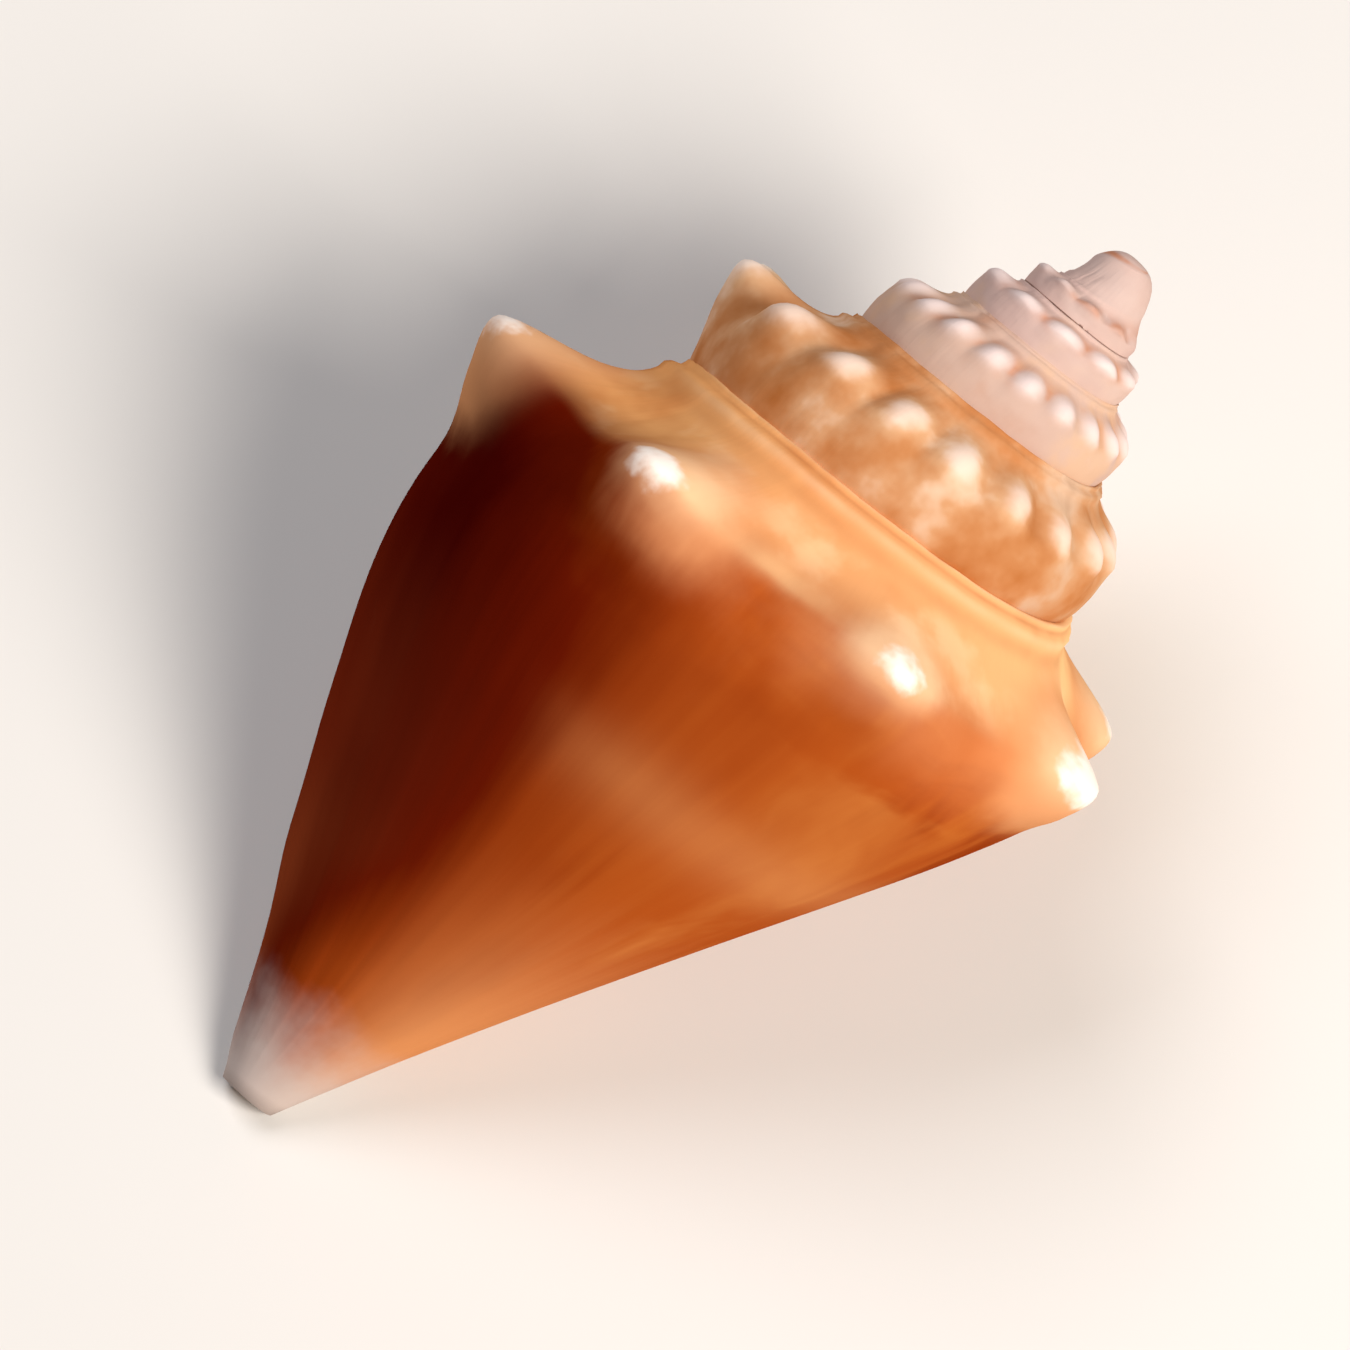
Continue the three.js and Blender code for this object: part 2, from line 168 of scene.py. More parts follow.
# Places across the lining and the pillar that the middle of the hollow's far end lies between
LINING_MIDDLE = 3.2
PILLAR_MIDDLE = 3.4

# How the shell lies, in degrees, and how deep its resting points are worn, in millimetres
ROLL = 16.0
TIP = 21.5
WEAR = 0.8

# Mesh fineness: columns for one turn of the coil, and rows for each stretch across the tube
COLUMNS_PER_TURN = 240
LIP_COLUMNS = 6
BANDS = {
    "rim": (0.0, 1.0, 8),
    "ramp": (1.0, 2.0, 14),
    "shoulder": (2.0, 3.0, 16),
    "foot": (3.0, 3.0 + WALL_FOOT, LIP_COLUMNS),
    "side": (3.0 + WALL_FOOT, 4.0, 40),
}
WELD = 0.004
AT_START = 0.0001

METRE = 0.001


class Field:
    """A number at each point of a surface: one output of a node."""

    def __init__(self, socket):
        self.socket = socket
        self.tree = socket.id_data

    def __add__(self, other):
        return calculate("ADD", self, other)

    def __radd__(self, other):
        return calculate("ADD", other, self)

    def __sub__(self, other):
        return calculate("SUBTRACT", self, other)

    def __rsub__(self, other):
        return calculate("SUBTRACT", other, self)

    def __mul__(self, other):
        return calculate("MULTIPLY", self, other)

    def __rmul__(self, other):
        return calculate("MULTIPLY", other, self)

    def __truediv__(self, other):
        return calculate("DIVIDE", self, other)

    def __rtruediv__(self, other):
        return calculate("DIVIDE", other, self)

    def __neg__(self):
        return calculate("MULTIPLY", self, -1.0)


def plug(value, socket):
    """Links a field to a socket, or sets the socket to a plain value."""
    if isinstance(value, Field):
        value.tree.links.new(value.socket, socket)
    else:
        socket.default_value = value


def calculate(operation, *values):
    tree = next(value.tree for value in values if isinstance(value, Field))
    node = tree.nodes.new("ShaderNodeMath")
    node.operation = operation
    for value, socket in zip(values, node.inputs):
        plug(value, socket)
    return Field(node.outputs[0])


def exp(x):
    return calculate("EXPONENT", x)


def clamp01(x):
    return calculate("MINIMUM", calculate("MAXIMUM", x, 0.0), 1.0)


def mix(a, b, k):
    return a + (b - a) * k


def hump(x, centre, width):
    offset = (x - centre) / width
    return exp(-(offset * offset))


def ease(start, end, x):
    """A smooth step from 0 at start to 1 at end."""
    node = x.tree.nodes.new("ShaderNodeMapRange")
    node.interpolation_type = "SMOOTHSTEP"
    plug(x, node.inputs["Value"])
    node.inputs["From Min"].default_value = start
    node.inputs["From Max"].default_value = end
    return Field(node.outputs["Result"])


def combine(x, y, z):
    tree = next(value.tree for value in (x, y, z) if isinstance(value, Field))
    node = tree.nodes.new("ShaderNodeCombineXYZ")
    for value, socket in zip((x, y, z), node.inputs):
        plug(value, socket)
    return Field(node.outputs[0])


def separate(vector):
    node = vector.tree.nodes.new("ShaderNodeSeparateXYZ")
    plug(vector, node.inputs[0])
    return [Field(output) for output in node.outputs]


def noise(vector, detail=2.0, roughness=0.5, scale=1.0):
    """Smooth noise about 0, from about -0.5 to 0.5."""
    node = vector.tree.nodes.new("ShaderNodeTexNoise")
    plug(vector, node.inputs["Vector"])
    node.inputs["Scale"].default_value = scale
    node.inputs["Detail"].default_value = detail
    node.inputs["Roughness"].default_value = roughness
    return Field(node.outputs[0]) - 0.5


def coil_noise(back, across, along, over, layer, **settings):
    """Noise over the coil: along and over are how often it changes by back angle and by place across."""
    return noise(combine(along * back, over * across, layer), **settings)


# The sockets of a Mix node for each kind of value: its two inputs and its output
MIX_SOCKETS = {"VECTOR": (4, 5, 1), "RGBA": (6, 7, 2)}


def mixed(tree, kind, a, b, share):
    """A blend of two vectors or two colours: a where share is 0, and b where it is 1."""
    node = tree.nodes.new("ShaderNodeMix")
    node.data_type = kind
    first, second, result = MIX_SOCKETS[kind]
    plug(share, node.inputs[0])
    plug(a, node.inputs[first])
    plug(b, node.inputs[second])
    return Field(node.outputs[result])


def blend_points(a, b, k):
    return tuple(mix(p, q, k) for p, q in zip(a, b))


def bezier(points, k):
    m = 1.0 - k
    weights = (m * m * m, 3.0 * k * m * m, 3.0 * k * k * m, k * k * k)
    return tuple(
        weights[0] * points[0][axis] + weights[1] * points[1][axis]
        + weights[2] * points[2][axis] + weights[3] * points[3][axis]
        for axis in (0, 1)
    )


# The rule of growth

class Whorl:
    """The size of the coil at a back angle. It fades to nothing at the apex, which is blunt."""

    def __init__(self, sizes, back):
        start = clamp01((sizes["Spire start"] - back) / APEX_FADE)
        size = exp(-back / sizes["Growth angle"])
        self.sizes = sizes
        self.back = back
        self.r = mix(sizes["Apex girth"], 1.0, size) * calculate("SQRT", start)
        self.h = size * start
        self.sunk = -APEX_LIFT * (1.0 - start)
        self.squeeze = 1.0 - SQUEEZE * exp(-back / SQUEEZE_FADE)

    def scaled(self, point, hold=1.0):
        """A point of the unit section at this size. hold is the share of the squeeze that it takes."""
        return point[0] * self.r * calculate("POWER", self.squeeze, hold), point[1] * self.h + self.sunk

    def canal_end(self):
        opening = exp(-self.back / CANAL_FADE)
        return CANAL_CORE + CANAL_OPENING * opening, self.sizes["Length"] - CANAL_BEVEL * (1.0 - opening)

    def side_curve(self):
        """The curve from the belly to the canal's end, fuller towards the lip."""
        belly = self.scaled(BELLY)
        fullness = SIDE_UPPER["share"] + SIDE_UPPER["fuller"] * exp(-self.back / SIDE_UPPER["fade"])
        upper = (belly[0] * fullness, belly[1] + SIDE_UPPER["below"])
        lower = (
            SIDE_LOWER["r"] + SIDE_LOWER["fuller"] * exp(-self.back / SIDE_LOWER["fade"]),
            self.sizes["Length"] - SIDE_LOWER["above"] - self.back / SIDE_LOWER["climb"],
        )
        return belly, upper, lower, self.canal_end()


def pick(across, *curves):
    """The curve for each stretch: the first up to 1, the next up to 2 and so on."""
    chosen = curves[-1]
    for end in range(len(curves) - 1, 0, -1):
        chosen = blend_points(chosen, curves[end - 1], calculate("LESS_THAN", across, float(end)))
    return chosen


def outer_section(whorl, across):
    above = Whorl(whorl.sizes, whorl.back + FULL_TURN)
    groove = above.scaled(BELLY)
    rim_top = whorl.scaled(RIM_TOP, RIM_HOLD)
    rim = whorl.scaled(RIM, RIM_HOLD)
    shoulder = whorl.scaled(SHOULDER)
    side = whorl.side_curve()
    belly, upper = side[:2]

    def reached(point, arm):
        return point[0] + arm[0] * whorl.r, point[1] + arm[1] * whorl.h

    rim_lift = (groove[0] + RIM_LIFT * whorl.r, rim_top[1])
    ramp = (rim, reached(rim, RAMP_ARMS[0]), reached(shoulder, RAMP_ARMS[1]), shoulder)
    smooth_end = blend_points(belly, upper, -BELLY_ARM * whorl.h)
    flank = (shoulder, reached(shoulder, FLANK_ARM), smooth_end, belly)
    section = pick(
        across,
        bezier((groove, rim_lift, rim_top, rim), across),
        bezier(ramp, across - 1.0),
        bezier(flank, across - 2.0),
        bezier(side, across - 3.0),
    )
    rounding = END_ROUND * exp(-whorl.back / CANAL_FADE) * ease(*END_ROUNDING, across)
    return section[0] - rounding, section[1]


def inner_section(whorl, across):
    """The inside of the wall, on curves set in from the outer ones."""
    wall = whorl.sizes["Wall"]
    belly, upper, lower, end = whorl.side_curve()
    before = Whorl(whorl.sizes, whorl.back + FULL_TURN)
    foot = bezier(before.side_curve(), WALL_FOOT)

    def moved(point, way, scale=1.0):
        return point[0] + way[0] * scale, point[1] + way[1] * scale

    shoulder_in = moved(whorl.scaled(SHOULDER), SHOULDER_INSET, wall)
    belly_in = (belly[0] - wall, belly[1])
    clear = mix(before.canal_end()[0], end[0], END_CLEARANCE)
    end_in = (calculate("MAXIMUM", end[0] - END_INSET * wall, clear), end[1])
    roof = (foot, moved(foot, ROOF_ARMS[0]), moved(shoulder_in, ROOF_ARMS[1]), shoulder_in)
    flank = (shoulder_in, moved(shoulder_in, LINING_ARMS[0]), moved(belly_in, LINING_ARMS[1]), belly_in)
    side = (belly_in, (upper[0] - wall, upper[1]), moved(lower, LOWER_INSET, wall), end_in)
    roof_curve = bezier(roof, across / 2.0)
    return pick(across, roof_curve, roof_curve, bezier(flank, across - 2.0), bezier(side, across - 3.0))


def knob_phase(back):
    """Knobs stand where this is a whole number. They crowd together before the long spines."""
    last = calculate("MINIMUM", back, CROWD_START)
    middle = calculate("MINIMUM", back, CROWD_END) - last
    spire = calculate("MINIMUM", back, APEX_KNOBS) - last - middle
    first = back - last - middle - spire
    crowding = (SPINE_SPACING - KNOB_SPACING) / (CROWD_END - CROWD_START)
    crowded = calculate("LOGARITHM", 1.0 - crowding * middle / SPINE_SPACING, math.e) / -crowding
    return last / SPINE_SPACING + crowded + spire / KNOB_SPACING + first / APEX_SPACING + KNOB_PHASE


def knob_share(back, across):
    """How far a place is up its knob, from 0 to 1: a broad cone with a narrow tip."""
    phase = knob_phase(back)
    number = calculate("ROUND", phase)
    spine = 1.0 - ease(*SPINE_FADE, back)
    width = mix(*KNOB_WIDTH, spine)
    crest = mix(*KNOB_CREST, spine)
    above = calculate("LESS_THAN", across, crest)
    reach = mix(mix(*REACH_DOWN, spine), mix(*REACH_UP, spine), above)

    def bump(share):
        return hump(phase, number, share * width) * hump(across, crest, share * reach)

    within = ease(*LIP_SMOOTH, back) * ease(*KNOB_TOP, across) * (1.0 - ease(*KNOB_BOTTOM, across))
    return within * mix(bump(TIP_SHARE), bump(CONE_SHARE), CONE_PART)


def knob_height(sizes, back, size):
    """No two knobs are quite as high. The last ones are spines."""
    spine = 1.0 - ease(*SPINE_FADE, back)
    number = calculate("ROUND", knob_phase(back))
    wave = UNEVEN["share"] * calculate("SINE", UNEVEN["turn"] * number + UNEVEN["start"])
    low = LOW_SPINE["less"] * hump(number, LOW_SPINE["number"], LOW_SPINE["width"])
    uneven = 1.0 + wave - low
    rounder = APEX_HEIGHT * ease(*APEX_RISE, back)
    fade = 1.0 - ease(*KNOB_FADE, back)
    return uneven * fade * (sizes["Knob height"] * (size + rounder) + sizes["Spine height"] * spine)


def fine_relief(whorl, across):
    """Growth ridges, slow swellings and the cord below the suture, in millimetres."""
    back = whorl.back
    ridges = RIDGE_HEIGHT * coil_noise(back, across, **RIDGES)
    swellings = SWELLING_HEIGHT * coil_noise(back, across, **SWELLINGS)
    beading = BEAD_LEVEL + BEAD_DEPTH * coil_noise(back, across, **BEADS)
    cords = [height * hump(across, centre, width) for height, centre, width in (UPPER_CORD, LOWER_CORD)]
    cord = beading * (cords[0] + cords[1])
    body = ease(*RELIEF_TOP, across) * (1.0 - ease(*RELIEF_BOTTOM, across))
    seam = mix(1.0, 1.0 - ease(*RELIEF_BELLY, across), ease(*COVERED_BELLY, back))
    nucleus = 1.0 - ease(*RELIEF_APEX, back)
    return (ridges + swellings + cord) * body * seam * nucleus * mix(RELIEF_LEAST, 1.0, whorl.h)


def lip_shear(sizes, back, across):
    """The lip's edge isn't straight: it cuts back at the notch near the canal and along the canal."""
    near = clamp01(1.0 - back / SHEAR_ANGLE)
    notch = sizes["Notch"] * hump(across, *NOTCH_PLACE)
    cut = notch + CANAL_CUT * ease(*CANAL_EDGE, across) + RAMP_CUT * hump(across, *RAMP_PLACE)
    return back + near * near * cut * ease(*WAVY_TOP, across)


def domed(back, across, point):
    """The first whorls melt into a blunt dome. A whorl's start lies on the end of the one before it, so
    the angle runs back a full turn towards the start."""
    along = back + FULL_TURN * (1.0 - calculate("MINIMUM", across, 3.0) / 3.0)
    dome = DOME_STEEP * calculate("POWER", point[0], DOME_POWER) - APEX_LIFT
    return point[0], mix(point[1], dome, ease(*DOME, along))


def flared(sizes, back, across, point):
    """The lip turns outwards over its last stretch, between its two ends."""
    turn = clamp01(1.0 - back / FLARE_ANGLE)
    along = ease(*FLARE_TOP, across) * (1.0 - ease(*FLARE_BOTTOM, across))
    out = sizes["Lip flare"] * turn * turn * along
    return point[0] + out, point[1] - FLARE_LIFT * out


def place(sizes, back, point):
    """From the section's plane into space, about the axis, which leans at the canal."""
    heading = (back + sizes["Lip heading"]) * math.radians(1.0)
    far = clamp01((point[1] - CANAL_START) / (sizes["Length"] - CANAL_START))
    lean = calculate("POWER", far, CANAL_BEND)
    return combine(
        point[0] * calculate("SINE", heading) + CANAL_LEAN[0] * lean,
        CANAL_LEAN[1] * lean - point[0] * calculate("COSINE", heading),
        sizes["Length"] - point[1],
    )


# Node groups for a point of the outside and of the inside

def new_group(name, outputs):
    """A node group with the sizes, a back angle and a place across as its inputs."""
    tree = bpy.data.node_groups.new(name, "GeometryNodeTree")
    labels = (*SIZES, "Back angle", "Across")
    for label in labels:
        tree.interface.new_socket(label, in_out="INPUT", socket_type="NodeSocketFloat")
    for label, kind in outputs:
        tree.interface.new_socket(label, in_out="OUTPUT", socket_type=kind)
    source = tree.nodes.new("NodeGroupInput")
    sink = tree.nodes.new("NodeGroupOutput")
    return tree, {label: Field(source.outputs[label]) for label in labels}, sink


def outer_group():
    tree, sizes, sink = new_group(
        "Outer point", (("Point", "NodeSocketVector"), ("Knob", "NodeSocketFloat"))
    )
    back, across = sizes["Back angle"], sizes["Across"]
    turned = lip_shear(sizes, back, across)
    whorl = Whorl(sizes, turned)
    section = domed(whorl.back, across, outer_section(whorl, across))
    knob = knob_share(turned, across)
    lift = knob * knob_height(sizes, turned, whorl.h)
    relief = sizes["Relief"] * fine_relief(whorl, across)
    facing_up = RELIEF_UP * (1.0 - ease(*RELIEF_OUTWARD, across))
    lean = mix(SPINE_LEAN, SPIRE_LEAN, ease(*LEAN_CHANGE, turned))
    point = (
        section[0] + KNOB_OUT * lift + relief,
        section[1] - lean * lift - facing_up * relief,
    )
    plug(place(sizes, turned, flared(sizes, back, across, point)), sink.inputs["Point"])
    plug(knob, sink.inputs["Knob"])
    return tree


def inner_group():
    tree, sizes, sink = new_group("Inner point", (("Point", "NodeSocketVector"),))
    back, across = sizes["Back angle"], sizes["Across"]
    turned = lip_shear(sizes, back, across)
    section = inner_section(Whorl(sizes, turned), across)
    plug(place(sizes, turned, flared(sizes, back, across, section)), sink.inputs["Point"])
    return tree


class ShellTree:
    """The node tree that joins the shell from patches of surface, each a grid laid on the rule."""

    def __init__(self):
        self.tree = bpy.data.node_groups.new("Conch shell", "GeometryNodeTree")
        for label, value in SIZES.items():
            socket = self.tree.interface.new_socket(label, in_out="INPUT", socket_type="NodeSocketFloat")
            socket.default_value = value
        self.tree.interface.new_socket("Finish", in_out="INPUT", socket_type="NodeSocketMaterial")
        self.tree.interface.new_socket("Shell", in_out="OUTPUT", socket_type="NodeSocketGeometry")
        self.source = self.tree.nodes.new("NodeGroupInput")
        self.sink = self.tree.nodes.new("NodeGroupOutput")
        self.groups = {"outer": outer_group(), "inner": inner_group()}
        self.patches = []

    def node(self, kind, **inputs):
        made = self.tree.nodes.new(kind)
        for label, value in inputs.items():
            plug(value, made.inputs[label.replace("_", " ").title()])
        return made

    def point(self, side, back, across):
        """A point of the outside or inside, and how far up a knob it is."""
        node = self.tree.nodes.new("GeometryNodeGroup")
        node.node_tree = self.groups[side]
        for label in SIZES:
            plug(Field(self.source.outputs[label]), node.inputs[label])
        plug(back, node.inputs["Back angle"])
        plug(across, node.inputs["Across"])
        knob = Field(node.outputs["Knob"]) if side == "outer" else 0.0
        return Field(node.outputs["Point"]), knob

    def between(self, a, b, share):
        return mixed(self.tree, "VECTOR", a, b, share)

    def scaled(self, vector, factor):
        node = self.tree.nodes.new("ShaderNodeVectorMath")
        node.operation = "SCALE"
        plug(vector, node.inputs[0])
        plug(factor, node.inputs["Scale"])
        return Field(node.outputs[0])

    def vectors(self, operation, *values):
        node = self.tree.nodes.new("ShaderNodeVectorMath")
        node.operation = operation
        for value, socket in zip(values, node.inputs):
            plug(value, socket)
        return Field(node.outputs[0])

    def patch(self, columns, rows, rule, flip):
        """A grid of columns by rows. rule gives its place, growth (back, across, knob) and inside."""
        grid = self.node("GeometryNodeMeshGrid", size_x=1.0, size_y=1.0)
        grid.inputs["Vertices X"].default_value = columns + 1
        grid.inputs["Vertices Y"].default_value = rows + 1
        flat = separate(Field(self.tree.nodes.new("GeometryNodeInputPosition").outputs[0]))
        where, growth, inside = rule(flat[0] + 0.5, flat[1] + 0.5)
        geometry = Field(grid.outputs["Mesh"])
        for label, kind, value in (
            ("growth", "FLOAT_VECTOR", combine(*growth)),
            ("inside", "FLOAT", inside),
        ):
            store = self.tree.nodes.new("GeometryNodeStoreNamedAttribute")
            store.data_type = kind
            store.domain = "CORNER"
            store.inputs["Name"].default_value = label
            plug(geometry, store.inputs["Geometry"])
            plug(value, store.inputs["Value"])
            geometry = Field(store.outputs["Geometry"])
        moved = self.node("GeometryNodeSetPosition", geometry=geometry, position=where)
        geometry = Field(moved.outputs["Geometry"])
        if flip:
            geometry = Field(self.node("GeometryNodeFlipFaces", mesh=geometry).outputs["Mesh"])
        self.patches.append(geometry)

    def lie_down(self, geometry):
        """The apex to +X, on the points that the shell rests on, which are worn flat at the ground."""
        for turn in ((0.0, 0.0, ROLL), (TIP - 90.0, 0.0, 0.0), (0.0, 0.0, -90.0)):
            angles = tuple(math.radians(angle) for angle in turn)
            turned = self.node("GeometryNodeTransform", geometry=geometry, rotation=angles)
            geometry = Field(turned.outputs["Geometry"])
        box = self.node("GeometryNodeBoundBox", geometry=geometry)
        low = separate(Field(box.outputs["Min"]))
        high = separate(Field(box.outputs["Max"]))
        shift = combine((low[0] + high[0]) * -0.5, (low[1] + high[1]) * -0.5, -low[2] - WEAR)
        moved = self.node("GeometryNodeSetPosition", geometry=geometry, offset=shift)
        here = separate(Field(self.tree.nodes.new("GeometryNodeInputPosition").outputs[0]))
        worn = combine(METRE * here[0], METRE * here[1], METRE * calculate("MAXIMUM", here[2], 0.0))
        geometry = Field(moved.outputs["Geometry"])
        return Field(self.node("GeometryNodeSetPosition", geometry=geometry, position=worn).outputs[0])

    def finish(self):
        join = self.tree.nodes.new("GeometryNodeJoinGeometry")
        for geometry in self.patches:
            self.tree.links.new(geometry.socket, join.inputs[0])
        weld = self.node("GeometryNodeMergeByDistance", geometry=Field(join.outputs[0]), distance=WELD)
        smooth = self.node("GeometryNodeSetShadeSmooth", geometry=Field(weld.outputs[0]))
        laid = self.lie_down(Field(smooth.outputs[0]))
        real = self.node("GeometryNodeRealizeInstances", geometry=laid)
        painted = self.tree.nodes.new("GeometryNodeSetMaterial")
        plug(Field(real.outputs[0]), painted.inputs["Geometry"])
        plug(Field(self.source.outputs["Finish"]), painted.inputs["Material"])
        plug(Field(painted.outputs[0]), self.sink.inputs["Shell"])
        return self.tree


def columns_for(angle):
    return round(angle * COLUMNS_PER_TURN / FULL_TURN)


def shell_tree():
    shell = ShellTree()

    def coil(side, start, end, band, inside):
        """A rule for a stretch of the coil, over one band across the tube."""
        low, high, rows = BANDS[band]

        def rule(u, v):
            back = mix(start, end, u)
            across = mix(low, high, v)
            where, knob = shell.point(side, back, across)
            return where, (back, across, knob), inside

        return columns_for(end - start), rows, rule

    # Outside: the whole coil down to the belly, then the last whorl down to the canal's end
    for band in ("rim", "ramp", "shoulder"):
        shell.patch(*coil("outer", 0.0, SIZES["Spire start"], band, 0.0), flip=True)
    for band in ("foot", "side"):
        shell.patch(*coil("outer", 0.0, FULL_TURN, band, 0.0), flip=True)

    # Hollow: the inside of the wall, and the whorl before it, which is the hollow's inner side
    for band in BANDS:
        shell.patch(*coil("inner", 0.0, MOUTH_DEPTH, band, 1.0), flip=False)
    shell.patch(*coil("outer", FULL_TURN, FULL_TURN + MOUTH_DEPTH, "side", 1.0), flip=True)

    # Lip: a rounded edge from the outside to the inside, standing on the whorl before it
    def lip(band):
        low, high, rows = BANDS[band]

        def rule(u, v):
            across = mix(low, high, v)
            outside, _ = shell.point("outer", 0.0, across)
            behind, _ = shell.point("outer", LIP_STEP, across)
            lining, _ = shell.point("inner", 0.0, across)
            foot, _ = shell.point("outer", FULL_TURN, 3.0 + WALL_FOOT * u)
            ahead = shell.vectors("NORMALIZE", shell.vectors("SUBTRACT", outside, behind))
            fade = ease(*ROUND_TOP, across) * (1.0 - ease(*ROUND_BOTTOM, across))
            bulge = Field(shell.source.outputs["Lip round"]) * calculate("SINE", math.pi * u) * fade
            edge = shell.vectors("ADD", shell.between(outside, lining, u), shell.scaled(ahead, bulge))
            where = shell.between(edge, foot, calculate("LESS_THAN", across, AT_START))
            return where, (0.0 * u, across, 0.0), u

        return LIP_COLUMNS, rows, rule

    for band in BANDS:
        shell.patch(*lip(band), flip=False)

    # Ends: the hollow's far end and the canal's end, each closed towards a point in its middle
    far = FULL_TURN + MOUTH_DEPTH
    lining_end, _ = shell.point("inner", MOUTH_DEPTH, 4.0)
    wall_end, _ = shell.point("outer", MOUTH_DEPTH, 4.0)
    pillar_end, _ = shell.point("outer", far, 4.0)
    lining_middle, _ = shell.point("inner", MOUTH_DEPTH, LINING_MIDDLE)
    pillar_middle, _ = shell.point("outer", far, PILLAR_MIDDLE)
    opposite_end, _ = shell.point("outer", MOUTH_DEPTH + FULL_TURN / 2.0, 4.0)
    hollow_middle = shell.between(lining_middle, pillar_middle, 0.5)
    canal_middle = shell.between(pillar_end, opposite_end, 0.5)

    def section_edge(side, back, band):
        """A rule for the points of a section over one band, by their share of the way along it."""
        low, high, _ = BANDS[band]

        def edge(u):
            return shell.point(side, back, mix(low, high, u))[0]

        return edge

    def canal_gap(u):
        return shell.between(lining_end, pillar_end, u)

    def wall_cut(u):
        return shell.between(wall_end, lining_end, u)

    def pillar_ring(u):
        return shell.point("outer", MOUTH_DEPTH + FULL_TURN * u, 4.0)[0]

    def close(columns, edge, middle, across, inside, flip):
        """One strip of faces from an edge to a point in the middle, painted as at one place across."""

        def rule(u, v):
            return shell.between(edge(u), middle, v), (MOUTH_DEPTH + 0.0 * u, across, 0.0), inside

        shell.patch(columns, 1, rule, flip)

    for band, (_, _, rows) in BANDS.items():
        close(rows, section_edge("inner", MOUTH_DEPTH, band), hollow_middle, 3.0, 1.0, flip=True)
    side_rows = BANDS["side"][2]
    close(side_rows, section_edge("outer", far, "side"), hollow_middle, 3.0, 1.0, flip=False)
    close(1, canal_gap, hollow_middle, 3.0, 1.0, flip=True)

    def wall_edge(u, v):
        back = MOUTH_DEPTH * u
        outside, _ = shell.point("outer", back, 4.0)
        lining, _ = shell.point("inner", back, 4.0)
        return shell.between(outside, lining, v), (back, 4.0, 0.0), v

    shell.patch(columns_for(MOUTH_DEPTH), LIP_COLUMNS, wall_edge, flip=True)
    close(COLUMNS_PER_TURN, pillar_ring, canal_middle, 4.0, 0.0, flip=True)
    close(LIP_COLUMNS, wall_cut, canal_middle, 4.0, 0.0, flip=False)
    close(1, canal_gap, canal_middle, 4.0, 0.0, flip=False)
    return shell.finish()


def make_shell(finish):
    """The shell as a plain mesh in the frame."""
    tree = shell_tree()
    seed = bpy.data.objects.new("shell_seed", bpy.data.meshes.new("shell_seed"))
    bpy.context.scene.collection.objects.link(seed)
    modifier = seed.modifiers.new("grow", "NODES")
    modifier.node_group = tree
    sockets = {item.name: item.identifier for item in tree.interface.items_tree if item.in_out == "INPUT"}
    for label, value in SIZES.items():
        modifier[sockets[label]] = value
    modifier[sockets["Finish"]] = finish
    depsgraph = bpy.context.evaluated_depsgraph_get()
    depsgraph.update()
    grown = seed.evaluated_get(depsgraph)
    mesh = bpy.data.meshes.new_from_object(grown, preserve_all_data_layers=True, depsgraph=depsgraph)
    mesh.name = "conch_shell"
    bpy.data.objects.remove(seed)
    shell = bpy.data.objects.new("conch_shell", mesh)
    bpy.context.scene.collection.objects.link(shell)
    return shell


# Colours and finish

# The last whorl, by degrees of coil from the edge of its dark part
BODY_COLOURS = (
    (-90.0, "#581004"),
    (-45.0, "#440402"),
    (-14.0, "#651503"),
    (10.0, "#8f370e"),
    (40.0, "#a84c18"),
    (90.0, "#a84d1c"),
    (140.0, "#b6602e"),
    (220.0, "#cb7a45"),
)
# The ramp, by back angle
RAMP_COLOURS = (
    (20.0, "#e6a263"),
    (80.0, "#e8a86a"),
    (120.0, "#df9d66"),
    (180.0, "#eab07a"),
    (240.0, "#f5ca90"),
)
RAMP_COVER = 0.95
# The spire, by its mottling
MOTTLE_COLOURS = ((-0.22, "#b06b38"), (-0.08, "#bd7f50"), (0.03, "#ca966c"), (0.14, "#dfbda0"))
# The oldest whorls, by back angle
OLD_COLOURS = ((560.0, "#aa846a"), (760.0, "#c7ac9c"), (1000.0, "#c9b1ab"))
OLD_COVER = 0.85
# Layers over those, each a colour and how fully it covers
LAYERS = {
    "brown side": ("#842f16", 0.55),
    "brown near the canal": ("#964422", 0.6),
    "blush": ("#802604", 0.75),
    "glow": ("#c87430", 0.5),
    "dark swirl": ("#8a2f08", 0.55),
    "pale swirl": ("#cf8240", 0.5),
    "pale band": ("#d8945c", 0.3),
    "pale near the canal": ("#e19a62", 0.7),
    "low shoulder": ("#e39058", 0.65),
    "tan blotches": ("#b8682e", 0.5),
    "cream flecks": ("#f3d3a8", 0.4),
    # A painted highlight along the raised cords below the suture
    "cords": ("#f0cda8", 0.7),
    # Painted shade in the grooves below the cords
    "painted shade below the cords": ("#ad6a3e", 0.5),
    "between knobs": ("#c0703a", 0.75),
    "yellowed": ("#d9a873", 0.4),
    # A painted highlight down the ridges of the knobs, on their lit side
    "ridge_highlight": ("#de9a68", 0.8),
    "worn patch": ("#efc08c", 0.6),
    # A painted highlight, peach, round the foot of each knob, strongest on its lit side
    "foot": ("#f3cba0", 0.75),
    "worn end": ("#c9bab2", 0.92),
}
# The worn tips of the spines, of the spire's knobs and of the oldest knobs
TIP_COLOURS = ("#fbf0e6", "#f0d8c8", "#eedcd8")
LINING_COLOURS = ("#d98a58", "#f3d3b8")

# Noise through space, from coarse to fine
CLOUDS = {"scale": 55.0, "detail": 2.0}
BLOTCHES = {"scale": 120.0, "detail": 3.0}
PATCHES = {"scale": 260.0, "detail": 3.0}
GRAIN = {"scale": 900.0, "detail": 4.0}
